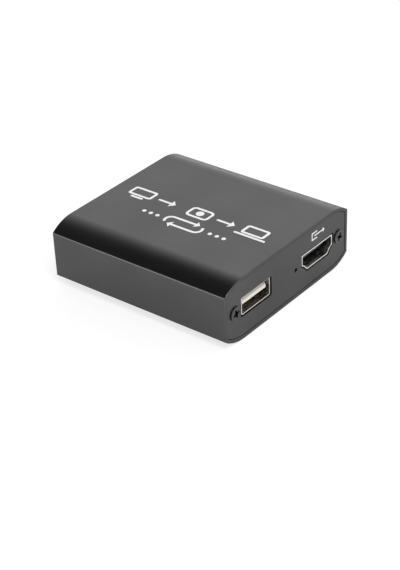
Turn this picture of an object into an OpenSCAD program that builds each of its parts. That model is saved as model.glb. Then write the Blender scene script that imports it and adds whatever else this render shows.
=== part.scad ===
// Video capture box: an extruded aluminium sleeve, closed at each end by a plate and two screws, with a
// circuit board in its grooves that carries the sockets. The origin is at the middle of the base, the
// sleeve runs along Y and the output end faces -Y.

/* [Sleeve] */
// Width of the sleeve
sleeve_w = 58; // [56:0.5:66]
// Height of the sleeve
sleeve_h = 19.4; // [18.4:0.2:26]
// Length of the sleeve
sleeve_l = 61; // [57:0.5:90]
// Thickness of the sleeve's walls
wall = 1.1; // [0.9:0.05:1.4]
// Radius of the four rounded long edges
edge_r = 13.4; // [11.5:0.1:16]
// Drop from the flat top to the crease on each side
edge_drop = 2.8; // [2.2:0.1:3.2]
// Thickness of the ribs that hold the board
rib_t = 0.9; // [0.6:0.1:1.1]
// Reach of the ribs from the side wall
rib_reach = 1.6; // [1.2:0.1:2]

/* [End plates] */
// Thickness of each end plate
plate_t = 1.5; // [1.3:0.1:1.9]
// How far each plate lies inside the sleeve's end
plate_recess = 0.2; // [0.1:0.05:0.4]
// Gap between a plate's edge and the sleeve
plate_gap = 0.1; // [0.05:0.05:0.2]

/* [Screws] */
// Distance from the sleeve's side to the screw's axis
screw_inset = 4.5; // [4.2:0.1:5]
// Diameter of the screw's shank
screw_d = 2.5; // [2:0.1:2.6]
// Length of the screw below its head's rim
screw_l = 7; // [5:0.5:9]
// Diameter of the screw's head
head_d = 4.2; // [4:0.1:4.7]
// Height of the head's rim above the plate
head_proud = 0.5; // [0.3:0.05:0.6]
// Wall of the screw channel round the shank
channel_wall = 0.85; // [0.6:0.05:1]

/* [Circuit board] */
// Thickness of the board
board_t = 1.6; // [1:0.1:1.8]
// Drop from the screw axis to the top of the board
board_drop = 3.3; // [3.1:0.1:3.8]

/* [Data socket] */
// Outer width of the data socket's shell
data_w = 13; // [12.8:0.1:13.4]
// Outer height of the data socket's shell
data_h = 5.6; // [5.4:0.1:6]
// Depth of the data socket's shell
data_depth = 14; // [13:0.5:16]
// Height of the data socket's centre above the board
data_rise = 3.7; // [3.5:0.1:4]
// Distance from the left screw to the data socket's centre
data_offset = 9.55; // [9.4:0.05:11]
// Gap between each side of the data socket's shell and its cut-out
data_gap = 0.5; // [0.3:0.05:0.6]
// Gap between the underside of the data socket's shell and its cut-out
data_low_gap = 0.4; // [0.2:0.05:0.5]
// How far the data socket's mouth lies behind the plate's face
data_recess = 0.25; // [0.15:0.05:0.5]

/* [Video sockets] */
// Outer width of a video socket's shell
video_w = 15; // [14.6:0.1:15.4]
// Outer height of a video socket's shell
video_h = 5.4; // [5.2:0.1:5.8]
// Depth of a video socket's shell
video_depth = 11.5; // [11:0.5:13]
// Distance from a screw to the video socket's centre
video_offset = 10.4; // [10.2:0.1:12]

/* [Power socket] */
// Outer width of the power socket's shell
power_w = 8; // [7.8:0.1:8.4]
// Outer height of the power socket's shell
power_h = 3; // [2.9:0.1:3.4]
// Depth of the power socket's shell
power_depth = 5.4; // [5:0.2:6]
// Distance from a screw to the power socket's centre
power_offset = 11; // [10:0.5:14]

/* [Sockets in the plates] */
// Gap between another socket's shell and its cut-out
port_gap = 0.4; // [0.2:0.05:0.5]
// How far the other sockets' mouths lie behind the plate's face
port_recess = 0.15; // [0.05:0.05:0.4]
// Diameter of the light's pinhole
led_hole_d = 1.3; // [1:0.1:1.8]
// Distance from the output socket's centre to the light
led_offset = 10.6; // [10:0.2:12]
// Height of the light's axis above the board
led_rise = 2.55; // [2.2:0.05:3]

/* [Hidden] */
$fn = 96;

// Colours
anodised = "#38393b";
screw_black = "#2b2c2e";
bright_steel = "#c9c9c6";
cream = "#e6e0d6";
black_plastic = "#1b1b1c";
gold = "#c8a24a";
board_green = "#1f5b3a";
chip_black = "#222224";
tin = "#b4b6b8";

// Clearances
fit = 0.05;
board_gap = 0.3;
slot_gap = 0.12;
contact_gap = 0.03;
overlap = 0.2;
through = 1;

// Sleeve and plates
mid_z = sleeve_h / 2;
end_y = sleeve_l / 2;
plate_y = end_y - plate_recess;
stop_y = plate_y - plate_t;
inner_half_w = sleeve_w / 2 - wall;
edge_run = sqrt(2 * edge_r * edge_drop - edge_drop * edge_drop);

// Screws and their channels
screw_x = sleeve_w / 2 - screw_inset;
bore_r = screw_d / 2 + fit;
channel_r = bore_r + channel_wall;
channel_slot = 1.25;
web_t = 2 * channel_wall;
cone_h = (head_d - screw_d) / 2;
head_bevel = 0.15;
tip_h = 1;
tip_r = 0.4;
cross_arm = 2.6;
cross_w = 0.75;
cross_depth = 0.8;
front_turns = [16, -21];
rear_turns = [35, -8];

// Board
board_top = mid_z - board_drop;
board_bottom = board_top - board_t;
board_half_w = inner_half_w - board_gap;
board_half_l = stop_y - board_gap;
leg_out = 1;
leg_gap = 0.1;

// Places of the sockets and the light
data_at = [-screw_x + data_offset, board_top + data_rise];
video_rise = video_h / 2 + fit;
output_at = [screw_x - video_offset, board_top + video_rise];
input_at = [-screw_x + video_offset, board_top + video_rise];
power_rise = power_h / 2 + fit;
power_at = [screw_x - power_offset, board_top + power_rise];
led_at = [output_at[0] - led_offset, board_top + led_rise];

// Retention springs in the shells
spring_slit = 0.2;
spring_t = 0.25;
spring_dip = 0.5;
spring_flick = 0.3;
spring_nose = 1;

// Data socket
data_t = 0.3;
data_r = 0.6;
data_floor = 10;
data_block_y = 9;
data_tongue_y = 0.6;
data_tongue_bevel = [0.7, 0.94];
data_tongue_t = 1.84;
data_tongue_side = 0.9;
data_tongue_top = 0.72;
data_leg_y = 4.6;
data_leg_w = 1.6;
data_spring_x = 3.1;
data_spring_w = 1.9;
data_spring_y = 1.5;
data_spring_l = 5.6;
data_contact_x = [-3.5, -1, 1, 3.5];
data_contact_w = 1;
data_contact_t = 0.26;
data_contact_y = 2;
data_tail_y = 12.2;
data_tail_t = 0.4;
data_foot_w = 9.4;
data_foot_y = 10.4;
data_tongue_z = data_h / 2 - data_t - data_tongue_top - data_tongue_t / 2;

// Video sockets
video_t = 0.35;
video_side = 3.3;
video_step_in = 1.15;
video_step_down = 0.65;
video_floor_in = 2.4;
video_r = 0.45;
video_floor = 8.6;
video_block_y = 7.4;
video_tail_room = 0.7;
video_block_end = video_depth - video_tail_room;
video_tongue_y = 2.4;
video_tongue_w = 10.8;
video_tongue_t = 1.4;
video_leg_y = [3, 8.2];
video_leg_w = 1.2;
video_spring_x = 3.2;
video_spring_w = 1.7;
video_spring_y = 1.6;
video_spring_l = 4.6;
video_pitch = 1;
video_upper = 10;
video_lower = 9;
video_contact_w = 0.3;
video_contact_t = 0.2;
video_contact_y = 3;
video_foot_l = 1.3;

// Power socket
power_t = 0.25;
power_side = 1.5;
power_floor_in = 1.2;
power_r = 0.3;
power_floor = 3.6;
power_block_y = 3.2;
power_tail_room = 0.5;
power_block_end = power_depth - power_tail_room;
power_tongue_y = 0.7;
power_tongue_w = 3.8;
power_tongue_t = 0.6;
power_tongue_z = 0.35;
power_leg_y = 2.6;
power_leg_w = 1;
power_pitch = 0.65;
power_contacts = 5;
power_contact_w = 0.3;
power_contact_t = 0.15;
power_foot_l = 0.9;

// Status light
led_r = 0.95;
led_l = 2.6;
led_flange_r = 1.2;
led_flange_t = 0.5;
led_pitch = 1.27;
led_wire = 0.45;
led_bend = 1;
led_y = -stop_y + board_gap;

// Parts on the board
capture_chip_w = 10;
capture_chip_at = [-10, -2];
splitter_chip_w = 9;
splitter_chip_at = [10, 0];
chip_h = 0.85;
dimple_r = 0.4;
dimple_depth = 0.1;
dimple_inset = 1.2;
flash_size = [3.9, 4.9, 1.5];
flash_at = [0, -9];
flash_leads = 4;
flash_pitch = 1.27;
flash_lead_w = 0.42;
lead_t = 0.2;
lead_out = 1;
regulator_size = [6.5, 3.5, 1.6];
regulator_from_side = 15.1;
regulator_from_end = [16.5, 10.5];
regulator_at = [for (from_end = regulator_from_end)
    [board_half_w - regulator_from_side, board_half_l - from_end]];
regulator_pitch = 2.3;
regulator_lead_w = 0.7;
regulator_tab_w = 3;
inductor_w = 4;
inductor_h = 2;
inductor_bevel = 0.6;
drum_margin = 0.35;
drum_groove = 0.2;
inductor_step = 8;
inductor_from_end = [15.5, 10];
inductor_at = [for (from_end = inductor_from_end)
    [regulator_at[0][0] - inductor_step, board_half_l - from_end]];
can_d = 5;
can_h = 5.2;
can_base_w = 5.3;
can_base_h = 0.9;
can_base_bevel = 1;
can_groove = 0.25;
can_gap = 0.4;
can_step = [9.5, 8.5];
can_from_end = 4.5;
can_at = [
    [power_at[0] - can_step[0], board_half_l - can_from_end],
    [screw_x - channel_r - can_gap - can_base_w / 2, splitter_chip_at[1] + can_step[1]]
];
crystal_l = 8;
crystal_w = 4;
crystal_h = 2.6;
crystal_rim = 0.35;
crystal_rim_h = 0.4;
crystal_gap = 1;
crystal_step = crystal_gap + crystal_w / 2;
crystal_at = [
    capture_chip_at + [0, capture_chip_w / 2 + crystal_step],
    splitter_chip_at - [0, splitter_chip_w / 2 + crystal_step]
];
cap_size = [1.6, 0.8, 0.8];
resistor_size = [1.6, 0.8, 0.5];
end_cap = 0.3;
end_cap_rise = 0.04;
cap_count = 6;
cap_pitch = 1.9;
cap_row_gap = 1.6;
resistor_count = 8;
resistor_pitch = 1.2;
resistor_from_end = 15.5;
resistor_rows = [
    [output_at[0], resistor_from_end - board_half_l],
    [input_at[0], board_half_l - resistor_from_end]
];

// Drop of the rounded edge at the side, on an outline that lies the given distance inside the sleeve's
function arc_drop(inset) =
    edge_r - inset - sqrt(pow(edge_r - inset, 2) - pow(edge_run - inset, 2));

// Points of an arc of radius r that rounds the corner b of the line a, b, c
function corner_arc(a, b, c, r, steps = 4) =
    let (
        u = (a - b) / norm(a - b),
        v = (c - b) / norm(c - b),
        half = acos(u * v) / 2,
        reach = r / tan(half),
        centre = b + (u + v) / norm(u + v) * r / sin(half),
        from = b + u * reach - centre,
        to = b + v * reach - centre,
        sweep = 180 - 2 * half
    )
    [for (i = [0:steps])
        centre + (from * sin(sweep * (1 - i / steps)) + to * sin(sweep * i / steps)) / sin(sweep)];

// A closed outline with every corner rounded
function rounded(points, r) =
    let (n = len(points))
    [for (i = [0:n - 1]) each corner_arc(points[(i + n - 1) % n], points[i], points[(i + 1) % n], r)];

// A right half outline, listed from the top down, with its mirror image
function both_sides(right) =
    concat(right, [for (i = [len(right) - 1:-1:0]) [-right[i][0], right[i][1]]]);

// Outline of a video socket's shell: wide at the top, stepped in at both lower corners
function video_outline(inset) =
    rounded(both_sides([
        [video_w / 2 - inset, video_h / 2 - inset],
        [video_w / 2 - inset, video_h / 2 - video_side + inset / 2],
        [video_w / 2 - video_step_in - inset, video_h / 2 - video_side - video_step_down + inset / 2],
        [video_w / 2 - video_floor_in - inset / 2, -video_h / 2 + inset]
    ]), video_r);

// Outline of the power socket's shell: a flat top and two bevelled lower corners
function power_outline(inset) =
    rounded(both_sides([
        [power_w / 2 - inset, power_h / 2 - inset],
        [power_w / 2 - inset, power_h / 2 - power_side + inset / 2],
        [power_w / 2 - power_floor_in - inset / 2, -power_h / 2 + inset]
    ]), power_r);

// Sweeps an outline drawn in X and Z along Y
module along_y(from, length) {
    translate([0, from + length, 0])
        rotate([90, 0, 0])
            linear_extrude(length)
                children();
}

// Sweeps an outline drawn in Y and Z across X, centred
module across_x(width) {
    translate([-width / 2, 0, 0])
        rotate([90, 0, 90])
            linear_extrude(width)
                children();
}

// Puts a socket in the output end, with its mouth behind the plate's face
module at_front(place, recess = port_recess) {
    translate([place[0], recess - plate_y, place[1]])
        children();
}

// Puts a socket in the input end
module at_rear(place) {
    translate([place[0], plate_y - port_recess, place[1]])
        rotate(180)
            children();
}

// Cross-section of the sleeve, or of what lies the given distance inside it
module profile(inset) {
    half_w = sleeve_w / 2 - inset;
    half_h = sleeve_h / 2 - inset;
    run = edge_run - inset;
    drop = arc_drop(inset);
    translate([0, mid_z]) {
        square([2 * half_w, 2 * (half_h - drop)], center = true);
        square([2 * (half_w - run), 2 * half_h], center = true);
        for (mx = [0, 1], mz = [0, 1])
            mirror([mx, 0])
                mirror([0, mz])
                    intersection() {
                        translate([half_w - run - overlap, half_h - drop - overlap])
                            square([run + overlap, drop + overlap]);
                        translate([half_w - run, half_h - edge_r + inset])
                            circle(edge_r - inset);
                    }
    }
}

// Rectangle with rounded corners, centred
module round_rect(w, h, r) {
    square([w, h - 2 * r], center = true);
    square([w - 2 * r, h], center = true);
    for (x = [-1, 1], z = [-1, 1])
        translate([x * (w / 2 - r), z * (h / 2 - r)])
            circle(r);
}

// Ribs, screw channel and web on the right wall of the sleeve
module wall_features() {
    reach = rib_reach + wall / 2;
    translate([inner_half_w - rib_reach, board_bottom - rib_t])
        square([reach, rib_t]);
    translate([inner_half_w - rib_reach, board_top + slot_gap])
        square([reach, rib_t]);
    difference() {
        union() {
            translate([screw_x, mid_z])
                circle(channel_r);
            translate([screw_x, mid_z - web_t / 2])
                square([screw_inset - wall / 2, web_t]);
        }
        translate([screw_x, mid_z])
            circle(bore_r);
        translate([screw_x - channel_r - through, mid_z - channel_slot / 2])
            square([channel_r + through, channel_slot]);
    }
}

module sleeve() {
    color(anodised) {
        along_y(-end_y, sleeve_l)
            difference() {
                profile(0);
                profile(wall);
            }
        for (side = [0, 1])
            mirror([side, 0, 0])
                along_y(-stop_y, 2 * stop_y)
                    wall_features();
    }
}

// Places for the two screws of the output end, with the plate's face at z = 0
module screw_places() {
    for (i = [0, 1])
        translate([(2 * i - 1) * screw_x, -plate_y, mid_z])
            rotate([90, 0, 0]) {
                $screw = i;
                children();
            }
}

// Countersunk screw with its axis along Z and the plate's face at z = 0
module screw(turn) {
    r = head_d / 2;
    difference() {
        rotate_extrude()
            polygon([
                [0, head_proud], [r - head_bevel, head_proud], [r, head_proud - head_bevel], [r, 0],
                [screw_d / 2, -cone_h], [screw_d / 2, tip_h - screw_l], [tip_r, -screw_l], [0, -screw_l]
            ]);
        for (arm = [0, 90])
            rotate(turn + arm)
                translate([-cross_arm / 2, -cross_w / 2, head_proud - cross_depth])
                    cube([cross_arm, cross_w, cross_depth + through]);
    }
}

// Hole and countersink for one screw
module screw_hole() {
    r = head_d / 2 + fit;
    rotate_extrude()
        polygon([
            [0, through], [r, through], [r, 0], [bore_r, -cone_h],
            [bore_r, -plate_t - through], [0, -plate_t - through]
        ]);
}

// Blank end plate of the output end, with its two countersunk holes
module plate_blank() {
    difference() {
        along_y(-plate_y, plate_t)
            profile(wall + plate_gap);
        screw_places()
            screw_hole();
    }
}

module front_plate() {
    color(anodised)
        difference() {
            plate_blank();
            at_front(data_at, data_recess)
                along_y(-through, plate_t + 2 * through)
                    translate([0, (fit - data_low_gap) / 2])
                        round_rect(data_w + 2 * data_gap, data_h + fit + data_low_gap, data_r);
            at_front(output_at)
                along_y(-through, plate_t + 2 * through)
                    polygon(video_outline(-port_gap));
            at_front(led_at)
                along_y(-through, plate_t + 2 * through)
                    circle(led_hole_d / 2);
        }
}

module rear_plate() {
    color(anodised)
        difference() {
            rotate(180)
                plate_blank();
            at_rear(input_at)
                along_y(-through, plate_t + 2 * through)
                    polygon(video_outline(-port_gap));
            at_rear(power_at)
                along_y(-through, plate_t + 2 * through)
                    polygon(power_outline(-port_gap));
        }
}

module front_screws() {
    color(screw_black)
        screw_places()
            screw(front_turns[$screw]);
}

module rear_screws() {
    color(screw_black)
        rotate(180)
            screw_places()
                screw(rear_turns[$screw]);
}

// Legs of a shell, from the given height down through the board, grown by a gap to cut their slots
module legs(w, t, top, rise, places, leg_w, gap) {
    foot = rise + board_t + leg_out;
    for (side = [-1, 1], y = places)
        translate([side * (w - t) / 2 - t / 2 - gap, y - gap, -foot - gap])
            cube([t + 2 * gap, leg_w + 2 * gap, foot + top + gap]);
}

module data_legs(gap) {
    legs(data_w, data_t, data_r - data_h / 2, data_rise, [data_leg_y], data_leg_w, gap);
}

module video_legs(gap) {
    legs(video_w, video_t, video_h / 2 - video_side + video_r, video_rise, video_leg_y, video_leg_w, gap);
}

module power_legs(gap) {
    legs(power_w, power_t, power_h / 2 - power_side + power_r, power_rise, [power_leg_y], power_leg_w, gap);
}

// Opening in a shell's wall round one spring, with the wall's outer face at z = 0
module spring_window(w, y, l, t) {
    translate([-w / 2 - spring_slit, y, -t - through])
        cube([w + 2 * spring_slit, l, t + 2 * through]);
}

// Spring finger, rooted at the back of its window and bent into the socket
module spring(w, y, l, t) {
    root = y + l;
    nose = y + spring_slit + spring_nose;
    tip = y + spring_slit;
    across_x(w)
        polygon([
            [root + overlap, 0], [root, 0], [nose, -spring_dip], [tip, spring_flick - spring_dip],
            [tip, spring_flick - spring_dip - spring_t], [nose, -spring_dip - spring_t],
            [root, -t], [root + overlap, -t]
        ]);
}

// Places for the springs of a socket's roof and floor
module roof_and_floor(x, h) {
    for (turn = [0, 180], side = [-1, 1])
        rotate([0, turn, 0])
            translate([side * x, 0, h / 2])
                children();
}

// Places for the springs of a socket's two sides
module both_walls(w) {
    for (turn = [-90, 90])
        rotate([0, turn, 0])
            translate([0, 0, w / 2])
                children();
}

module data_socket_shell() {
    color(bright_steel)
        at_front(data_at, data_recess) {
            difference() {
                along_y(0, data_depth)
                    difference() {
                        round_rect(data_w, data_h, data_r);
                        round_rect(data_w - 2 * data_t, data_h - 2 * data_t, data_r - data_t);
                    }
                translate([data_r - data_w / 2, data_floor, -data_h / 2 - through])
                    cube([data_w - 2 * data_r, data_depth, data_t + 2 * through]);
                roof_and_floor(data_spring_x, data_h)
                    spring_window(data_spring_w, data_spring_y, data_spring_l, data_t);
                both_walls(data_w)
                    spring_window(data_spring_w, data_spring_y, data_spring_l - data_spring_y, data_t);
            }
            roof_and_floor(data_spring_x, data_h)
                spring(data_spring_w, data_spring_y, data_spring_l, data_t);
            both_walls(data_w)
                spring(data_spring_w, data_spring_y, data_spring_l - data_spring_y, data_t);
            data_legs(0);
        }
}

// One contact of the data socket, a strip with a pin through the board, grown by a gap for its seat
module data_contact(gap) {
    low = data_tongue_z - data_tongue_t / 2 - data_contact_t / 2 - gap;
    high = low + data_contact_t + 2 * gap;
    pin_end = -data_rise - board_t - leg_out - gap;
    across_x(data_contact_w + 2 * gap)
        polygon([
            [data_contact_y - gap, high], [data_tail_y + gap, high], [data_tail_y + gap, pin_end],
            [data_tail_y - data_tail_t - gap, pin_end], [data_tail_y - data_tail_t - gap, low],
            [data_contact_y - gap, low]
        ]);
}

module data_contact_row(gap) {
    for (x = data_contact_x)
        translate([x, 0, 0])
            data_contact(gap);
}

module data_socket_insulator() {
    inner_w = data_w - 2 * data_t;
    inner_h = data_h - 2 * data_t;
    tongue_w = inner_w - 2 * data_tongue_side;
    tongue_end = data_block_y + overlap;
    low = data_tongue_z - data_tongue_t / 2;
    high = data_tongue_z + data_tongue_t / 2;
    color(cream)
        at_front(data_at, data_recess)
            difference() {
                union() {
                    along_y(data_block_y, data_depth - data_block_y)
                        round_rect(inner_w - 2 * fit, inner_h - 2 * fit, data_r - data_t);
                    across_x(tongue_w)
                        polygon([
                            [data_tongue_y, low], [tongue_end, low], [tongue_end, high],
                            [data_tongue_y + data_tongue_bevel[0], high],
                            [data_tongue_y, high - data_tongue_bevel[1]]
                        ]);
                    translate([-data_foot_w / 2, data_foot_y, -data_rise])
                        cube([data_foot_w, data_depth - data_foot_y, data_rise]);
                }
                data_contact_row(contact_gap);
            }
}

module data_socket_contacts() {
    color(gold)
        at_front(data_at, data_recess)
            data_contact_row(0);
}

module video_shell() {
    difference() {
        along_y(0, video_depth)
            difference() {
                polygon(video_outline(0));
                polygon(video_outline(video_t));
            }
        translate([-video_w / 2 - through, video_floor, -video_h / 2 - through])
            cube([video_w + 2 * through, video_depth, video_h - video_side + through]);
        roof_and_floor(video_spring_x, video_h)
            spring_window(video_spring_w, video_spring_y, video_spring_l, video_t);
    }
    roof_and_floor(video_spring_x, video_h)
        spring(video_spring_w, video_spring_y, video_spring_l, video_t);
    video_legs(0);
}

// Strip of a video contact at the given height, grown by a gap to cut its seat
module video_strip(z, gap) {
    translate([-video_contact_w / 2 - gap, video_contact_y - gap, z - video_contact_t / 2 - gap])
        cube([
            video_contact_w + 2 * gap,
            video_block_end - video_contact_y + 2 * gap,
            video_contact_t + 2 * gap
        ]);
}

// One contact: a strip, a leg down the back of the block and a foot on the board
module video_contact(z) {
    back = video_block_end + contact_gap;
    high = z + video_contact_t / 2;
    low = z - video_contact_t / 2;
    across_x(video_contact_w)
        polygon([
            [video_contact_y, high], [back + video_contact_t, high],
            [back + video_contact_t, video_contact_t - video_rise],
            [back + video_foot_l, video_contact_t - video_rise], [back + video_foot_l, -video_rise],
            [back, -video_rise], [back, low], [video_contact_y, low]
        ]);
}

// Places of the contacts in both rows, upper row first
module video_rows() {
    for (row = [[video_upper, 1], [video_lower, -1]], i = [0:row[0] - 1])
        translate([(i - (row[0] - 1) / 2) * video_pitch, 0, 0]) {
            $row_z = row[1] * video_tongue_t / 2;
            children();
        }
}

module video_insulator() {
    difference() {
        union() {
            along_y(video_block_y, video_block_end - video_block_y)
                polygon(video_outline(video_t + fit));
            translate([-video_tongue_w / 2, video_tongue_y, -video_tongue_t / 2])
                cube([video_tongue_w, video_block_y + overlap - video_tongue_y, video_tongue_t]);
        }
        video_rows()
            video_strip($row_z, contact_gap);
    }
}

module video_contacts() {
    video_rows()
        video_contact($row_z);
}

module output_socket_shell() {
    color(bright_steel)
        at_front(output_at)
            video_shell();
}

module output_socket_insulator() {
    color(black_plastic)
        at_front(output_at)
            video_insulator();
}

module output_socket_contacts() {
    color(gold)
        at_front(output_at)
            video_contacts();
}

module input_socket_shell() {
    color(bright_steel)
        at_rear(input_at)
            video_shell();
}

module input_socket_insulator() {
    color(black_plastic)
        at_rear(input_at)
            video_insulator();
}

module input_socket_contacts() {
    color(gold)
        at_rear(input_at)
            video_contacts();
}

module power_socket_shell() {
    color(bright_steel)
        at_rear(power_at) {
            difference() {
                along_y(0, power_depth)
                    difference() {
                        polygon(power_outline(0));
                        polygon(power_outline(power_t));
                    }
                translate([-power_w / 2 - through, power_floor, -power_h / 2 - through])
                    cube([power_w + 2 * through, power_depth, power_h - power_side + through]);
            }
            power_legs(0);
        }
}

// Strip of a power contact under the tongue, grown by a gap to cut its seat
module power_strip(gap) {
    z = power_tongue_z - power_tongue_t / 2;
    translate([-power_contact_w / 2 - gap, power_tongue_y + overlap - gap, z - power_contact_t / 2 - gap])
        cube([
            power_contact_w + 2 * gap,
            power_block_end - power_tongue_y - overlap + 2 * gap,
            power_contact_t + 2 * gap
        ]);
}

module power_contact() {
    z = power_tongue_z - power_tongue_t / 2;
    front = power_tongue_y + overlap;
    back = power_block_end + contact_gap;
    high = z + power_contact_t / 2;
    low = z - power_contact_t / 2;
    across_x(power_contact_w)
        polygon([
            [front, high], [back + power_contact_t, high],
            [back + power_contact_t, power_contact_t - power_rise],
            [back + power_foot_l, power_contact_t - power_rise], [back + power_foot_l, -power_rise],
            [back, -power_rise], [back, low], [front, low]
        ]);
}

module power_row() {
    for (i = [0:power_contacts - 1])
        translate([(i - (power_contacts - 1) / 2) * power_pitch, 0, 0])
            children();
}

module power_socket_insulator() {
    color(black_plastic)
        at_rear(power_at)
            difference() {
                union() {
                    along_y(power_block_y, power_block_end - power_block_y)
                        polygon(power_outline(power_t + fit));
                    translate([-power_tongue_w / 2, power_tongue_y, power_tongue_z - power_tongue_t / 2])
                        cube([power_tongue_w, power_block_y + overlap - power_tongue_y, power_tongue_t]);
                }
                power_row()
                    power_strip(contact_gap);
            }
}

module power_socket_contacts() {
    color(gold)
        at_rear(power_at)
            power_row()
                power_contact();
}

// Domed lamp lying along Y, with its flange at the back
module status_led() {
    color("#d8e6d8")
        translate([led_at[0], led_y, led_at[1]])
            rotate([-90, 0, 0]) {
                translate([0, 0, led_r])
                    cylinder(h = led_l - led_r, r = led_r);
                translate([0, 0, led_r])
                    sphere(led_r);
                translate([0, 0, led_l - led_flange_t])
                    cylinder(h = led_flange_t, r = led_flange_r);
            }
}

// Two square wires from the back of the lamp down through the board
module led_wires(gap) {
    back = led_y + led_l;
    side = led_wire / 2 + gap;
    for (x = [-1, 1])
        translate([led_at[0] + x * led_pitch / 2, 0, 0])
            across_x(2 * side)
                polygon([
                    [back, led_at[1] + side], [back + led_bend + side, led_at[1] + side],
                    [back + led_bend + side, board_bottom - leg_out],
                    [back + led_bend - side, board_bottom - leg_out],
                    [back + led_bend - side, led_at[1] - side], [back, led_at[1] - side]
                ]);
}

module led_leads() {
    color(tin)
        led_wires(0);
}

module circuit_board() {
    color(board_green)
        difference() {
            translate([-board_half_w, -board_half_l, board_bottom])
                cube([2 * board_half_w, 2 * board_half_l, board_t]);
            at_front(data_at, data_recess) {
                data_legs(leg_gap);
                data_contact_row(leg_gap);
            }
            at_front(output_at)
                video_legs(leg_gap);
            at_rear(input_at)
                video_legs(leg_gap);
            at_rear(power_at)
                power_legs(leg_gap);
            led_wires(leg_gap);
        }
}

// Puts a part on the board
module on_board(place) {
    translate([place[0], place[1], board_top])
        children();
}

// Flat square chip with a dimple at its first corner
module flat_chip(w) {
    difference() {
        translate([-w / 2, -w / 2, 0])
            cube([w, w, chip_h]);
        translate([dimple_inset - w / 2, w / 2 - dimple_inset, chip_h - dimple_depth])
            cylinder(h = dimple_depth + through, r = dimple_r);
    }
}

module capture_chip() {
    color(chip_black)
        on_board(capture_chip_at)
            flat_chip(capture_chip_w);
}

module splitter_chip() {
    color(chip_black)
        on_board(splitter_chip_at)
            flat_chip(splitter_chip_w);
}

// Gull-wing lead that leaves a body's side at the given height, along +Y
module gull_lead(w, height) {
    across_x(w)
        polygon([
            [-overlap, height], [lead_out / 2, height], [lead_out / 2, lead_t],
            [lead_out, lead_t], [lead_out, 0], [lead_out / 2 - lead_t, 0],
            [lead_out / 2 - lead_t, height - lead_t], [-overlap, height - lead_t]
        ]);
}

module flash_memory() {
    stand = lead_t / 2;
    color(chip_black)
        on_board(flash_at) {
            translate([-flash_size[1] / 2, -flash_size[0] / 2, stand])
                cube([flash_size[1], flash_size[0], flash_size[2]]);
            for (turn = [0, 180], i = [0:flash_leads - 1])
                rotate(turn)
                    translate([(i - (flash_leads - 1) / 2) * flash_pitch, flash_size[0] / 2, 0])
                        gull_lead(flash_lead_w, flash_size[2] / 2);
        }
}

// Regulator with three leads on one side and a wide tab on the other
module regulator() {
    stand = lead_t / 2;
    translate([-regulator_size[0] / 2, -regulator_size[1] / 2, stand])
        cube(regulator_size);
    for (i = [-1:1])
        translate([i * regulator_pitch, regulator_size[1] / 2, 0])
            gull_lead(regulator_lead_w, regulator_size[2] / 2);
    rotate(180)
        translate([0, regulator_size[1] / 2, 0])
            gull_lead(regulator_tab_w, regulator_size[2] / 2);
}

module voltage_regulators() {
    color(chip_black)
        for (place = regulator_at)
            on_board(place)
                regulator();
}

// Square coil body with a round ferrite drum showing at the top
module inductor() {
    drum_r = inductor_w / 2 - drum_margin;
    across = sqrt(2) * (inductor_w - inductor_bevel);
    difference() {
        translate([0, 0, inductor_h / 2])
            intersection() {
                cube([inductor_w, inductor_w, inductor_h], center = true);
                rotate(45)
                    cube([across, across, inductor_h], center = true);
            }
        translate([0, 0, inductor_h - drum_groove])
            difference() {
                cylinder(h = through, r = drum_r);
                cylinder(h = through, r = drum_r - drum_groove);
            }
    }
}

module power_inductors() {
    color("#3c3a38")
        for (place = inductor_at)
            on_board(place)
                inductor();
}

// Aluminium can on a bevelled plastic base
module storage_capacitor() {
    r = can_d / 2;
    neck = can_base_h + 2 * can_groove;
    across = sqrt(2) * (can_base_w - can_base_bevel);
    intersection() {
        translate([-can_base_w / 2, -can_base_w / 2, 0])
            cube([can_base_w, can_base_w, can_base_h]);
        translate([0, 0, can_base_h / 2])
            rotate(45)
                cube([across, 2 * can_base_w, 2 * can_base_h], center = true);
    }
    rotate_extrude()
        polygon([
            [0, 0], [r, 0], [r, neck], [r - can_groove, neck + can_groove], [r, neck + 2 * can_groove],
            [r, can_h - can_groove], [r - can_groove, can_h], [0, can_h]
        ]);
}

module storage_capacitors() {
    color(tin)
        for (place = can_at)
            on_board(place)
                storage_capacitor();
}

// Long metal can with round ends and a rim at its foot
module crystal() {
    straight = crystal_l - crystal_w;
    for (step = [[0, crystal_rim_h], [crystal_rim, crystal_h]]) {
        r = crystal_w / 2 - step[0];
        translate([-straight / 2, -r, 0])
            cube([straight, 2 * r, step[1]]);
        for (x = [-straight / 2, straight / 2])
            translate([x, 0, 0])
                cylinder(h = step[1], r = r);
    }
}

module crystals() {
    color(tin)
        for (place = crystal_at)
            on_board(place)
                crystal();
}

// Two-ended chip part with raised metal ends
module chip_part(size) {
    translate([-size[0] / 2, -size[1] / 2, 0])
        cube(size);
    for (side = [-1, 1])
        translate([side * (size[0] - end_cap) / 2, 0, (size[2] + end_cap_rise) / 2])
            cube([end_cap, size[1] + 2 * end_cap_rise, size[2] + end_cap_rise], center = true);
}

// A row of small capacitors on the left and right of each large chip
module chip_capacitors() {
    color("#b59a74")
        for (chip = [[capture_chip_at, capture_chip_w], [splitter_chip_at, splitter_chip_w]], side = [-1, 1])
            for (i = [0:cap_count - 1])
                on_board(chip[0] + [
                    side * (chip[1] / 2 + cap_row_gap),
                    (i - (cap_count - 1) / 2) * cap_pitch
                ])
                    chip_part(cap_size);
}

// A row of resistors behind each video socket
module chip_resistors() {
    color("#26282c")
        for (row = resistor_rows, i = [0:resistor_count - 1])
            on_board(row + [(i - (resistor_count - 1) / 2) * resistor_pitch, 0])
                rotate(90)
                    chip_part(resistor_size);
}

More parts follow.
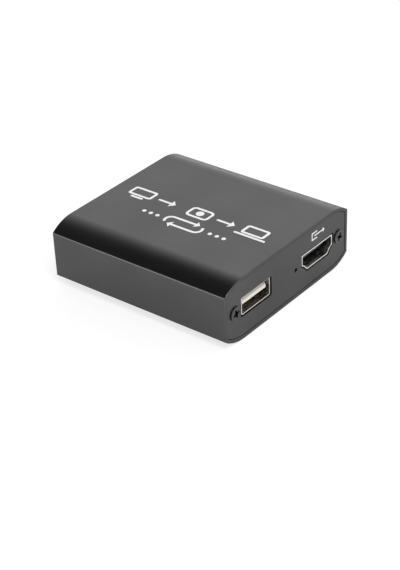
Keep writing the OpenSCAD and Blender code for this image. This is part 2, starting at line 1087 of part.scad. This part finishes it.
sleeve();
front_plate();
rear_plate();
front_screws();
rear_screws();
circuit_board();
data_socket_shell();
data_socket_insulator();
data_socket_contacts();
output_socket_shell();
output_socket_insulator();
output_socket_contacts();
input_socket_shell();
input_socket_insulator();
input_socket_contacts();
power_socket_shell();
power_socket_insulator();
power_socket_contacts();
status_led();
led_leads();
capture_chip();
splitter_chip();
flash_memory();
voltage_regulators();
power_inductors();
storage_capacitors();
crystals();
chip_capacitors();
chip_resistors();
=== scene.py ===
"""Looks of a video capture box: an anodised aluminium sleeve with sockets in its two end plates.

The sleeve runs along Y and the output end faces -Y. Lengths are written in millimetres and turned into
metres by MM.
"""

import math

import bmesh
import bpy
from mathutils import Matrix, Vector


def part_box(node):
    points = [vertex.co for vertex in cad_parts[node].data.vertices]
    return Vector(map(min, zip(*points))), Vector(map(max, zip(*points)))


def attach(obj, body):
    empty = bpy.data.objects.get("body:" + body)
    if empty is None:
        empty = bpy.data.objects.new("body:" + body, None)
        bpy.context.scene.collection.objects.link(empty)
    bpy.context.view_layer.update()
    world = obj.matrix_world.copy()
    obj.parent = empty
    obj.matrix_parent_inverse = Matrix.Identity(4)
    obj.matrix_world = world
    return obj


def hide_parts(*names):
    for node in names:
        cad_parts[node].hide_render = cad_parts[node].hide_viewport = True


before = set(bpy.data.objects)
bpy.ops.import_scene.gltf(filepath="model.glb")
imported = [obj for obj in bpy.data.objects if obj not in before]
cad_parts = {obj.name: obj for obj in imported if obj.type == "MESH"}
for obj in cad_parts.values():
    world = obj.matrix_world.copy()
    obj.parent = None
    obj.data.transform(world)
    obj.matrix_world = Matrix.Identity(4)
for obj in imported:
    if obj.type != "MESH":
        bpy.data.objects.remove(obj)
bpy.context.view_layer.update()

MM = 0.001
BODY = "root"
SLOT_OF = {name: node.data.materials[0].name for name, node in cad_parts.items()}

# Camera, as it stood in the photograph
CAMERA_PLACE = Vector((-0.28499, -0.23275, 0.22496))
CAMERA_AZIMUTH = math.radians(-50.595)
CAMERA_ELEVATION = math.radians(31.974)
CAMERA_ROLL = math.radians(-2.593)
CAMERA_LENS = 94.17
CAMERA_CLIP = 0.01

# Studio floor, with the share that is plain white to the camera and its lift in reflections
FLOOR_HALF = 6.0
FLOOR_ALBEDO = 0.95
FLOOR_WHITE = 1.18
FLOOR_PLAIN_SHARE = 0.62
FLOOR_GLOSS_LIFT = 0.25

# Studio walls, which fade into the ceiling between two heights along a tilted axis
WALL_LIGHT = 1.37
CEILING_LIGHT = 0.03
CEILING_AXIS = Vector((-0.35, 0.0, 0.937)).normalized()
CEILING_FROM = 0.24
CEILING_TO = 0.72

# Soft windows, with the angles from their direction, in degrees, at which they start and are full
WINDOWS = (
    {"way": (-0.80, 0.54, 0.26), "light": 2.36, "starts": 24, "full": 10},
    {"way": (0.83, 0.54, 0.10), "light": 0.57, "starts": 41, "full": 8},
    {"way": (0.84, 0.54, -0.02), "light": 3.6, "starts": 9, "full": 1},
    {"way": (0.0, -0.25, 0.97), "light": 0.8, "starts": 28, "full": 12},
)

# Key lamp
KEY_PLACE = Vector((-0.30, -0.42, 0.75))
KEY_SIZE = 0.35
KEY_POWER = 3.6

# Widths of the edges that are broken on the finished metal
CREASE_EDGE = 0.3
SLEEVE_EDGE = 0.2
PLATE_EDGE = 0.05
SCREW_EDGE = 0.05
SHELL_EDGE = 0.06
EDGE_SEGMENTS = 3
ROUND_PROFILE = 0.5

# Which edges count as sharp or flat, and which points as one
SHARP_ANGLE = math.radians(30)
FLAT_ANGLE = math.radians(0.2)
WELD_DISTANCE = 5e-6
INK_WELD_DISTANCE = 1e-6
NEAR = 0.01 * MM

# Finishes. The distances are from the box's middle: where the sockets' steel turns from painted shade and
# rough to lit and smooth, and where the serial port's tongue turns from painted shade to its plain colour
ANODISED_EDGE_TINT = 0.56
STEEL_SHADED_ROUGH_AT = 28.2
STEEL_LIT_SMOOTH_AT = 29.7
STEEL_POLISH = 0.2
TONGUE_SHADED_AT = 29.37
TONGUE_LIT_AT = 29.44
TONES_FROM = 0.3
TONES_TO = 0.7

# Printed signs: the ink, then the rows on the top, then the sign on the output plate
INK_HEIGHT = 0.02
INK_SUNK = 0.01
TOP_STROKE = 0.82
TOP_ROW_START = (-3.7, 25.0)
LOW_ROW_START = (-10.4, 14.5)
TOP_ROW_MIDDLE = 3.0
TOP_ARROW_HEAD = 1.7
LOOP_LEFT, LOOP_RIGHT, LOOP_HEIGHT = 8.0, 21.5, 4.6
LOOP_HEAD = 1.5
DOT_PLACES = (0.6, 3.0, 5.4, 24.1, 26.5, 28.9)
DOT_RADIUS = 0.65
PLATE_STROKE = 0.36
OUTPUT_SIGN_START = (11.2, 14.5)
OUT_FRAME_W, OUT_FRAME_H = 2.6, 2.4
OUT_ARROW_FROM, OUT_ARROW_TO, OUT_ARROW_HEAD = 1.3, 6.2, 0.8

# Fineness of the drawn curves, and roundings as a share of the stroke
ARC_STEPS = 12
DISC_STEPS = 36
CORNER_STEPS = 6
LEAST_ROUND = 0.25
BAR_ENDS = 2.1


# Node trees

def add_node(tree, kind, inputs=None, **settings):
    """A shader node whose inputs are numbers, colours or other nodes' sockets."""
    made = tree.nodes.new(kind)
    for name, value in settings.items():
        setattr(made, name, value)
    for name, value in (inputs or {}).items():
        if isinstance(value, bpy.types.NodeSocket):
            tree.links.new(value, made.inputs[name])
        else:
            made.inputs[name].default_value = value
    return made


def start_material(name, **inputs):
    """A new material and its principled shader, with the plain inputs set."""
    made = bpy.data.materials.new(name)
    made.use_nodes = True
    tree = made.node_tree
    tree.nodes.clear()
    shader = add_node(tree, "ShaderNodeBsdfPrincipled", {k.replace("_", " "): v for k, v in inputs.items()})
    output = add_node(tree, "ShaderNodeOutputMaterial")
    tree.links.new(shader.outputs["BSDF"], output.inputs["Surface"])
    return made, tree, shader


def grain(tree, scale, stretch=(1, 1, 1), detail=3.0):
    """Noise fixed to the object, with a feature size of about 1 / scale metres."""
    place = add_node(tree, "ShaderNodeTexCoord").outputs["Object"]
    mapped = add_node(tree, "ShaderNodeMapping", {"Vector": place, "Scale": [scale * s for s in stretch]})
    noise = add_node(
        tree, "ShaderNodeTexNoise", {"Vector": mapped.outputs["Vector"], "Scale": 1.0, "Detail": detail})
    return noise.outputs["Fac"]


def between(tree, value, low, high, spread=0.25):
    """A noise value, which lies round one half, spread over a range of numbers."""
    ranged = add_node(tree, "ShaderNodeMapRange", {
        "Value": value, "From Min": 0.5 - spread, "From Max": 0.5 + spread, "To Min": low, "To Max": high})
    return ranged.outputs["Result"]


def tones(tree, value, dark, light):
    """A value from 0 to 1 turned into a tone between two colours."""
    ramp = add_node(tree, "ShaderNodeValToRGB", {"Fac": value})
    first, last = ramp.color_ramp.elements
    first.position, first.color = TONES_FROM, (*dark, 1)
    last.position, last.color = TONES_TO, (*light, 1)
    return ramp.outputs["Color"]


def relief(tree, height, depth, before=None):
    """A bump of the given depth in metres, over an earlier one if there is one."""
    inputs = {"Height": height, "Distance": depth, "Strength": 1.0}
    if before is not None:
        inputs["Normal"] = before
    return add_node(tree, "ShaderNodeBump", inputs).outputs["Normal"]


def wire(tree, shader, **sockets):
    """Links sockets to the shader's inputs."""
    for name, socket in sockets.items():
        tree.links.new(socket, shader.inputs[name.replace("_", " ")])


# Materials

def anodised(name, lines, dark, light):
    """Black anodised aluminium: blasted grain, and drawing lines along the given stretch."""
    tint = (ANODISED_EDGE_TINT, ANODISED_EDGE_TINT, ANODISED_EDGE_TINT, 1)
    made, tree, shader = start_material(name, Metallic=1.0, Specular_Tint=tint)
    fine = grain(tree, 9000)
    drawn = grain(tree, 2500, lines, detail=2.0)
    cloud = grain(tree, 60, detail=2.0)
    wire(
        tree, shader,
        Base_Color=tones(tree, cloud, dark, light),
        Roughness=between(tree, drawn, 0.275, 0.305),
        Normal=relief(tree, fine, 1.5e-6, relief(tree, drawn, 2e-7)))
    return made


def black_steel():
    """Black passivated screws, a little worn."""
    made, tree, shader = start_material("black_steel_finish", Metallic=1.0)
    fine = grain(tree, 6000)
    wire(
        tree, shader,
        Base_Color=tones(tree, fine, (0.06, 0.06, 0.062), (0.10, 0.10, 0.10)),
        Roughness=between(tree, fine, 0.26, 0.40),
        Normal=relief(tree, fine, 3e-6))
    return made


def near_mouth(tree, inner, outer):
    """A value that rises from 0 to 1 between two distances from the middle of the box along Y."""
    place = add_node(tree, "ShaderNodeTexCoord").outputs["Object"]
    along = add_node(tree, "ShaderNodeSeparateXYZ", {"Vector": place}).outputs["Y"]
    reach = add_node(tree, "ShaderNodeMath", {0: along}, operation="ABSOLUTE").outputs[0]
    return add_node(tree, "ShaderNodeMapRange", {
        "Value": reach, "From Min": inner * MM, "From Max": outer * MM}).outputs["Result"]


def bright_steel(name, shaded_tone, bright):
    """Nickel-plated folded sheet with faint rolling marks, smoother at the mouth, with painted shade and
    more roughness further in.
    """
    made, tree, shader = start_material(name, Metallic=1.0)
    rolled = grain(tree, 3000, (1, 0.04, 1))
    # Painted shade: the steel darkens from the mouth inwards; the same ramp makes it rougher inside.
    shade_and_gloss = near_mouth(tree, STEEL_SHADED_ROUGH_AT, STEEL_LIT_SMOOTH_AT)
    cloud = between(tree, grain(tree, 400), -0.08, 0.08)
    mixed = add_node(tree, "ShaderNodeMath", {0: shade_and_gloss, 1: cloud}, operation="ADD")
    smooth = between(tree, rolled, 0.38, 0.46)
    sheen = add_node(
        tree, "ShaderNodeMath", {0: shade_and_gloss, 1: -STEEL_POLISH, 2: smooth}, operation="MULTIPLY_ADD")
    wire(
        tree, shader,
        Base_Color=tones(tree, mixed.outputs[0], shaded_tone, bright),
        Roughness=sheen.outputs[0],
        Normal=relief(tree, rolled, 1e-6))
    return made


def moulded(name, dark, light, roughness, depth=2e-6):
    """Moulded plastic or resin with a fine satin grain."""
    made, tree, shader = start_material(name)
    fine = grain(tree, 7000)
    cloud = grain(tree, 500)
    wire(
        tree, shader,
        Base_Color=tones(tree, cloud, dark, light),
        Roughness=between(tree, fine, roughness - 0.06, roughness + 0.06),
        Normal=relief(tree, fine, depth))
    return made


def cream_plastic():
    """The tongue's moulding, its plain colour on its tip and darker behind it with painted shade from the
    socket's roof.
    """
    made, tree, shader = start_material("cream_plastic_finish")
    fine = grain(tree, 7000)
    cloud = between(tree, grain(tree, 500), -0.06, 0.06)
    # Painted shade: the tongue darkens just behind its tip, where the socket's roof shades it; the darker
    # tone below is that shade.
    tip_lit = near_mouth(tree, TONGUE_SHADED_AT, TONGUE_LIT_AT)
    mixed = add_node(tree, "ShaderNodeMath", {0: tip_lit, 1: cloud}, operation="ADD")
    wire(
        tree, shader,
        Base_Color=tones(tree, mixed.outputs[0], (0.52, 0.48, 0.43), (0.79, 0.75, 0.68)),
        Roughness=between(tree, fine, 0.36, 0.48),
        Normal=relief(tree, fine, 2e-6))
    return made


def soft_metal(name, dark, light, low, high):
    """Plated contact metal or tinned sheet."""
    made, tree, shader = start_material(name, Metallic=1.0)
    fine = grain(tree, 5000)
    cloud = grain(tree, 900)
    wire(
        tree, shader,
        Base_Color=tones(tree, cloud, dark, light),
        Roughness=between(tree, fine, low, high),
        Normal=relief(tree, fine, 2e-6))
    return made


def laminate():
    """Green solder resist over copper tracks, which show as paler bands."""
    made, tree, shader = start_material("board_laminate_finish", Coat_Weight=0.4, Coat_Roughness=0.12)
    place = add_node(tree, "ShaderNodeTexCoord").outputs["Object"]
    tracks = add_node(tree, "ShaderNodeTexBrick", {
        "Vector": place, "Scale": 420.0, "Mortar Size": 0.03, "Mortar Smooth": 0.2, "Bias": -0.2,
        "Color1": (0.012, 0.085, 0.035, 1), "Color2": (0.018, 0.12, 0.05, 1),
        "Mortar": (0.03, 0.2, 0.085, 1)})
    fine = grain(tree, 4000)
    wire(
        tree, shader,
        Base_Color=tracks.outputs["Color"],
        Roughness=between(tree, fine, 0.3, 0.42),
        Normal=relief(tree, tracks.outputs["Fac"], 8e-6))
    return made


def clear_epoxy():
    """Clear lamp body with a slight haze."""
    made, tree, shader = start_material("clear_epoxy_finish", Transmission_Weight=0.9, IOR=1.53)
    cloud = grain(tree, 1500)
    wire(
        tree, shader,
        Base_Color=tones(tree, cloud, (0.91, 0.96, 0.91), (0.95, 0.98, 0.95)),
        Roughness=between(tree, cloud, 0.05, 0.2))
    return made


def white_ink():
    """Screen-printed white ink with the weave of the screen just showing."""
    made, tree, shader = start_material("white_ink_finish")
    fine = grain(tree, 5000)
    wire(
        tree, shader,
        Base_Color=tones(tree, fine, (0.86, 0.86, 0.85), (0.92, 0.92, 0.91)),
        Roughness=between(tree, fine, 0.45, 0.6),
        Normal=relief(tree, fine, 2e-6))
    return made


# The plates are made a little paler than the sleeve: painted light, for the brighter floor that the end
# plates reflect.
sleeve_metal = anodised("sleeve_finish", (1, 0.01, 1), (0.086, 0.086, 0.088), (0.096, 0.096, 0.097))
plate_metal = anodised("plate_finish", (0.02, 1, 1), (0.098, 0.098, 0.100), (0.109, 0.109, 0.110))
# The first tone of each socket steel is painted shade for deep in the socket.
video_steel = bright_steel("video_steel_finish", (0.19, 0.187, 0.18), (0.70, 0.695, 0.685))
ink = white_ink()
FINISHES = {
    "black_anodised": plate_metal,
    "black_steel": black_steel(),
    "bright_steel": bright_steel("bright_steel_finish", (0.30, 0.28, 0.25), (0.66, 0.64, 0.61)),
    "cream_plastic": cream_plastic(),
    "black_plastic": moulded("black_plastic_finish", (0.030, 0.029, 0.028), (0.046, 0.044, 0.042), 0.45),
    "gold_contact": soft_metal("gold_contact_finish", (0.78, 0.55, 0.22), (0.86, 0.64, 0.30), 0.2, 0.32),
    "board_laminate": laminate(),
    "chip_moulding": moulded("chip_moulding_finish", (0.018, 0.018, 0.019), (0.032, 0.032, 0.034), 0.55),
    "tinned_metal": soft_metal("tinned_metal_finish", (0.62, 0.63, 0.64), (0.74, 0.75, 0.76), 0.25, 0.4),
    "tan_ceramic": moulded("tan_ceramic_finish", (0.36, 0.26, 0.16), (0.46, 0.34, 0.22), 0.5),
    "dark_ceramic": moulded("dark_ceramic_finish", (0.02, 0.021, 0.024), (0.035, 0.036, 0.04), 0.4),
    "ferrite": moulded("ferrite_finish", (0.045, 0.042, 0.04), (0.075, 0.07, 0.066), 0.6),
    "clear_epoxy": clear_epoxy(),
}


# Finished metal pieces

def dress(piece, slot):
    """Gives a piece the finish of its slot."""
    piece.data.materials.clear()
    piece.data.materials.append(FINISHES[slot])


def edge_broken(node, *cuts):
    """A copy of a CAD node that stands for it. Each cut is a width and a test for the edges to round."""
    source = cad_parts[node]
    work = bmesh.new()
    work.from_mesh(source.data)
    bmesh.ops.remove_doubles(work, verts=work.verts, dist=WELD_DISTANCE)
    bmesh.ops.dissolve_limit(work, angle_limit=FLAT_ANGLE, verts=work.verts, edges=work.edges)
    for width, chosen in cuts:
        sharp = [e for e in work.edges if e.is_manifold and e.calc_face_angle() > SHARP_ANGLE]
        bmesh.ops.bevel(
            work, geom=[e for e in sharp if chosen(e)], offset=width * MM, offset_type="OFFSET",
            segments=EDGE_SEGMENTS, profile=ROUND_PROFILE, affect="EDGES", clamp_overlap=False)
    for face in work.faces:
        face.smooth = True
    for edge in work.edges:
        edge.smooth = edge.is_manifold and edge.calc_face_angle() < SHARP_ANGLE
    mesh = bpy.data.meshes.new(f"{node}_finished")
    work.to_mesh(mesh)
    work.free()
    piece = bpy.data.objects.new(f"{node}_finished", mesh)
    bpy.context.scene.collection.objects.link(piece)
    normals = piece.modifiers.new("face_normals", "WEIGHTED_NORMAL")
    normals.keep_sharp = True
    dress(piece, SLOT_OF[node])
    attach(piece, BODY)
    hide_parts(node)
    return piece


def lies_on(axis, *places):
    """A test for edges that lie in one of the planes at these places along an axis."""
    def test(edge):
        return any(all(abs(v.co[axis] - place) < NEAR for v in edge.verts) for place in places)
    return test


def finish_metal():
    """The sleeve, plates, screws and shells, with their edges broken."""
    sleeve_low, sleeve_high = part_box("sleeve")
    on_side = lies_on(0, sleeve_low.x, sleeve_high.x)
    on_end = lies_on(1, sleeve_low.y, sleeve_high.y)
    sleeve = edge_broken("sleeve", (CREASE_EDGE, on_side), (SLEEVE_EDGE, on_end))
    sleeve.data.materials[0] = sleeve_metal
    for end, outward in (("front", 0), ("rear", 1)):
        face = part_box(f"{end}_plate")[outward].y
        edge_broken(f"{end}_plate", (PLATE_EDGE, lies_on(1, face)))
        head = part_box(f"{end}_screws")[outward].y
        edge_broken(f"{end}_screws", (SCREW_EDGE, lies_on(1, head)))
    for socket, outward in (("data", 0), ("output", 0), ("input", 1), ("power", 1)):
        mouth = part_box(f"{socket}_socket_shell")[outward].y
        shell = edge_broken(f"{socket}_socket_shell", (SHELL_EDGE, lies_on(1, mouth)))
        if socket != "data":
            shell.data.materials[0] = video_steel


# Printed signs, drawn in millimetres as closed outlines

def arc(centre, radius, start, end, steps=ARC_STEPS):
    """Points of an arc, with its angles in degrees."""
    angles = [math.radians(start + (end - start) * i / steps) for i in range(steps + 1)]
    return [(centre[0] + radius * math.cos(a), centre[1] + radius * math.sin(a)) for a in angles]


def disc(centre, radius):
    """A round dot."""
    return arc(centre, radius, 0, 360, DISC_STEPS)[:-1]


def bar(left, low, right, high, radius):
    """A rectangle with rounded corners."""
    corners = [
        (right - radius, high - radius, 0), (left + radius, high - radius, 90),
        (left + radius, low + radius, 180), (right - radius, low + radius, 270)]
    return [p for x, y, turn in corners for p in arc((x, y), radius, turn, turn + 90, CORNER_STEPS)]


def hollow(left, low, right, high, radius, stroke):
    """A rounded rectangle drawn as a line."""
    inner = max(radius - stroke, stroke * LEAST_ROUND)
    return [
        bar(left, low, right, high, radius),
        bar(left + stroke, low + stroke, right - stroke, high - stroke, inner)]


def arrow(start, end, middle, stroke, head):
    """A straight arrow that points along the row."""
    half = stroke / 2
    neck = end - head
    return [
        (start, middle - half), (neck, middle - half), (neck, middle - head), (end, middle),
        (neck, middle + head), (neck, middle + half), (start, middle + half)]


def mirrored(outline, centre):
    """The outline turned half round about a point."""
    return [(2 * centre[0] - x, 2 * centre[1] - y) for x, y in outline]


def loop_arrow(left, low, right, high, stroke, head):
    """Half of a closed circuit: round the left end and along the top to an arrow head."""
    outer = (high - low) / 2
    middle = (low + high) / 2
    inner = outer - stroke
    turn = (left + outer, middle)
    tip = right - outer
    line = high - stroke / 2
    return (
        arc(turn, outer, 225, 90)
        + [(tip - head, high), (tip - head, line + head), (tip, line), (tip - head, line - head)]
        + [(tip - head, high - stroke)]
        + arc(turn, inner, 90, 225))


def top_row():
    """Signs for a screen, a recorder and a computer, with arrows between them."""
    stroke = TOP_STROKE
    return [
        *hollow(0, 1.2, 8.4, 5.7, 0.9, stroke),
        bar(2.0, 0, 6.4, stroke, stroke / BAR_ENDS),
        arrow(10.4, 16.6, TOP_ROW_MIDDLE, stroke, TOP_ARROW_HEAD),
        *hollow(21.5, 0.4, 29.3, 5.6, 1.5, stroke),
        disc((25.4, TOP_ROW_MIDDLE), 1.25),
        arrow(31.4, 37.6, TOP_ROW_MIDDLE, stroke, TOP_ARROW_HEAD),
        *hollow(40.6, 1.2, 48.4, 5.7, 0.9, stroke),
        bar(39.2, 0, 49.8, stroke, stroke / BAR_ENDS)]


def low_row():
    """A closed circuit of two arrows between two rows of dots."""
    middle = LOOP_HEIGHT / 2
    circuit = loop_arrow(LOOP_LEFT, 0, LOOP_RIGHT, LOOP_HEIGHT, TOP_STROKE, LOOP_HEAD)
    dots = [disc((u, middle), DOT_RADIUS) for u in DOT_PLACES]
    return [circuit, mirrored(circuit, ((LOOP_LEFT + LOOP_RIGHT) / 2, middle)), *dots]


def arrow_out():
    """An arrow that leaves a three-sided frame."""
    stroke = PLATE_STROKE
    right, high = OUT_FRAME_W, OUT_FRAME_H
    frame_line = [
        (right, 0), (0, 0), (0, high), (right, high), (right, high - stroke), (stroke, high - stroke),
        (stroke, stroke), (right, stroke)]
    return [frame_line, arrow(OUT_ARROW_FROM, OUT_ARROW_TO, high / 2, stroke, OUT_ARROW_HEAD)]


def print_sign(name, outlines, origin, along, up):
    """Thin ink on a face. The outlines run along one direction, with their tops towards another."""
    curve = bpy.data.curves.new(name, "CURVE")
    curve.dimensions = "2D"
    curve.fill_mode = "BOTH"
    curve.extrude = (INK_HEIGHT + INK_SUNK) * MM / 2
    for outline in outlines:
        spline = curve.splines.new("POLY")
        spline.points.add(len(outline) - 1)
        for point, (u, v) in zip(spline.points, outline):
            point.co = (u * MM, v * MM, 0, 1)
        spline.use_cyclic_u = True
    drawn = bpy.data.objects.new(name, curve)
    bpy.context.scene.collection.objects.link(drawn)
    bpy.context.view_layer.update()
    mesh = bpy.data.meshes.new_from_object(drawn.evaluated_get(bpy.context.evaluated_depsgraph_get()))
    bpy.data.objects.remove(drawn)
    along, up = Vector(along), Vector(up)
    outward = along.cross(up)
    place = Vector(origin) + outward * (INK_HEIGHT - INK_SUNK) * MM / 2
    axes = Matrix((along, up, outward)).transposed().to_4x4()
    mesh.transform(Matrix.Translation(place) @ axes)
    work = bmesh.new()
    work.from_mesh(mesh)
    bmesh.ops.remove_doubles(work, verts=work.verts, dist=INK_WELD_DISTANCE)
    bmesh.ops.recalc_face_normals(work, faces=work.faces)
    work.to_mesh(mesh)
    work.free()
    mesh.materials.clear()
    mesh.materials.append(ink)
    piece = bpy.data.objects.new(name, mesh)
    bpy.context.scene.collection.objects.link(piece)
    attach(piece, BODY)
    return piece


def print_signs():
    """White signs on the sleeve's top and on the output plate."""
    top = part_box("sleeve")[1].z
    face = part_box("front_plate")[0].y
    for name, outlines, (x, y) in (
            ("top_sign_upper", top_row(), TOP_ROW_START), ("top_sign_lower", low_row(), LOW_ROW_START)):
        print_sign(name, outlines, (x * MM, y * MM, top), (0, -1, 0), (1, 0, 0))
    x, z = OUTPUT_SIGN_START
    print_sign("output_sign", arrow_out(), (x * MM, face, z * MM), (1, 0, 0), (0, 0, 1))


# Studio

def place_camera():
    """The photograph's own viewpoint."""
    azimuth, elevation = CAMERA_AZIMUTH, CAMERA_ELEVATION
    back = Vector((
        math.sin(azimuth) * math.cos(elevation), -math.cos(azimuth) * math.cos(elevation),
        math.sin(elevation)))
    level = Vector((0, 0, 1)).cross(back).normalized()
    upright = back.cross(level)
    right = level * math.cos(CAMERA_ROLL) + upright * math.sin(CAMERA_ROLL)
    data = bpy.data.cameras.new("camera")
    data.lens = CAMERA_LENS
    data.clip_start = CAMERA_CLIP
    camera = bpy.data.objects.new("camera", data)
    axes = Matrix((right, back.cross(right), back)).transposed().to_4x4()
    camera.matrix_world = Matrix.Translation(CAMERA_PLACE) @ axes
    bpy.context.scene.collection.objects.link(camera)
    bpy.context.scene.camera = camera


def light_world():
    """Bright walls that fade into a dark ceiling, with three low windows and a dim panel overhead."""
    world = bpy.data.worlds.new("studio")
    bpy.context.scene.world = world
    world.use_nodes = True
    tree = world.node_tree
    tree.nodes.clear()
    direction = add_node(tree, "ShaderNodeTexCoord").outputs["Generated"]
    height = add_node(tree, "ShaderNodeVectorMath", {0: direction, 1: CEILING_AXIS}, operation="DOT_PRODUCT")
    strength = add_node(tree, "ShaderNodeMapRange", {
        "Value": height.outputs["Value"], "From Min": CEILING_FROM, "From Max": CEILING_TO,
        "To Min": WALL_LIGHT, "To Max": CEILING_LIGHT}, interpolation_type="SMOOTHSTEP")
    total = strength.outputs["Result"]
    for window in WINDOWS:
        way = Vector(window["way"]).normalized()
        towards = add_node(tree, "ShaderNodeVectorMath", {0: direction, 1: way}, operation="DOT_PRODUCT")
        glow = add_node(tree, "ShaderNodeMapRange", {
            "Value": towards.outputs["Value"], "From Min": math.cos(math.radians(window["starts"])),
            "From Max": math.cos(math.radians(window["full"])), "To Max": window["light"]},
            interpolation_type="SMOOTHSTEP")
        total = add_node(
            tree, "ShaderNodeMath", {0: total, 1: glow.outputs["Result"]}, operation="ADD").outputs[0]
    light = add_node(tree, "ShaderNodeBackground", {"Color": (1, 1, 1, 1), "Strength": total})
    output = add_node(tree, "ShaderNodeOutputWorld")
    tree.links.new(light.outputs["Background"], output.inputs["Surface"])


def light_key():
    """One large soft lamp above the camera."""
    data = bpy.data.lights.new("key", "AREA")
    data.energy = KEY_POWER
    data.size = KEY_SIZE
    key = bpy.data.objects.new("key", data)
    key.location = KEY_PLACE
    key.rotation_euler = (-KEY_PLACE).to_track_quat("-Z", "Y").to_euler()
    bpy.context.scene.collection.objects.link(key)


def lay_floor():
    """A plain pale floor: white to the camera, a little lifted in reflections, with the object's shadow."""
    mesh = bpy.data.meshes.new("floor")
    half = FLOOR_HALF
    corners = [(-half, -half, 0), (half, -half, 0), (half, half, 0), (-half, half, 0)]
    mesh.from_pydata(corners, [], [(0, 1, 2, 3)])
    made = bpy.data.materials.new("floor_white")
    made.use_nodes = True
    tree = made.node_tree
    tree.nodes.clear()
    rays = add_node(tree, "ShaderNodeLightPath").outputs
    direct = add_node(tree, "ShaderNodeMath", {
        0: rays["Is Camera Ray"], 1: rays["Is Transmission Ray"]}, operation="MAXIMUM")
    share = add_node(
        tree, "ShaderNodeMath", {0: direct.outputs[0], 1: FLOOR_PLAIN_SHARE}, operation="MULTIPLY")
    tone = add_node(tree, "ShaderNodeMath", {
        0: rays["Is Glossy Ray"], 1: FLOOR_GLOSS_LIFT, 2: FLOOR_ALBEDO}, operation="MULTIPLY_ADD")
    lit = add_node(tree, "ShaderNodeBsdfDiffuse", {"Color": tone.outputs[0]})
    plain = add_node(tree, "ShaderNodeEmission", {"Color": (1, 1, 1, 1), "Strength": FLOOR_WHITE})
    mixed = add_node(tree, "ShaderNodeMixShader", {
        0: share.outputs[0], 1: lit.outputs["BSDF"], 2: plain.outputs["Emission"]})
    output = add_node(tree, "ShaderNodeOutputMaterial")
    tree.links.new(mixed.outputs["Shader"], output.inputs["Surface"])
    mesh.materials.append(made)
    floor = bpy.data.objects.new("floor", mesh)
    bpy.context.scene.collection.objects.link(floor)


place_camera()
light_world()
light_key()
lay_floor()
for name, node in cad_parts.items():
    dress(node, SLOT_OF[name])
finish_metal()
print_signs()
bpy.context.scene.view_settings.view_transform = "Standard"
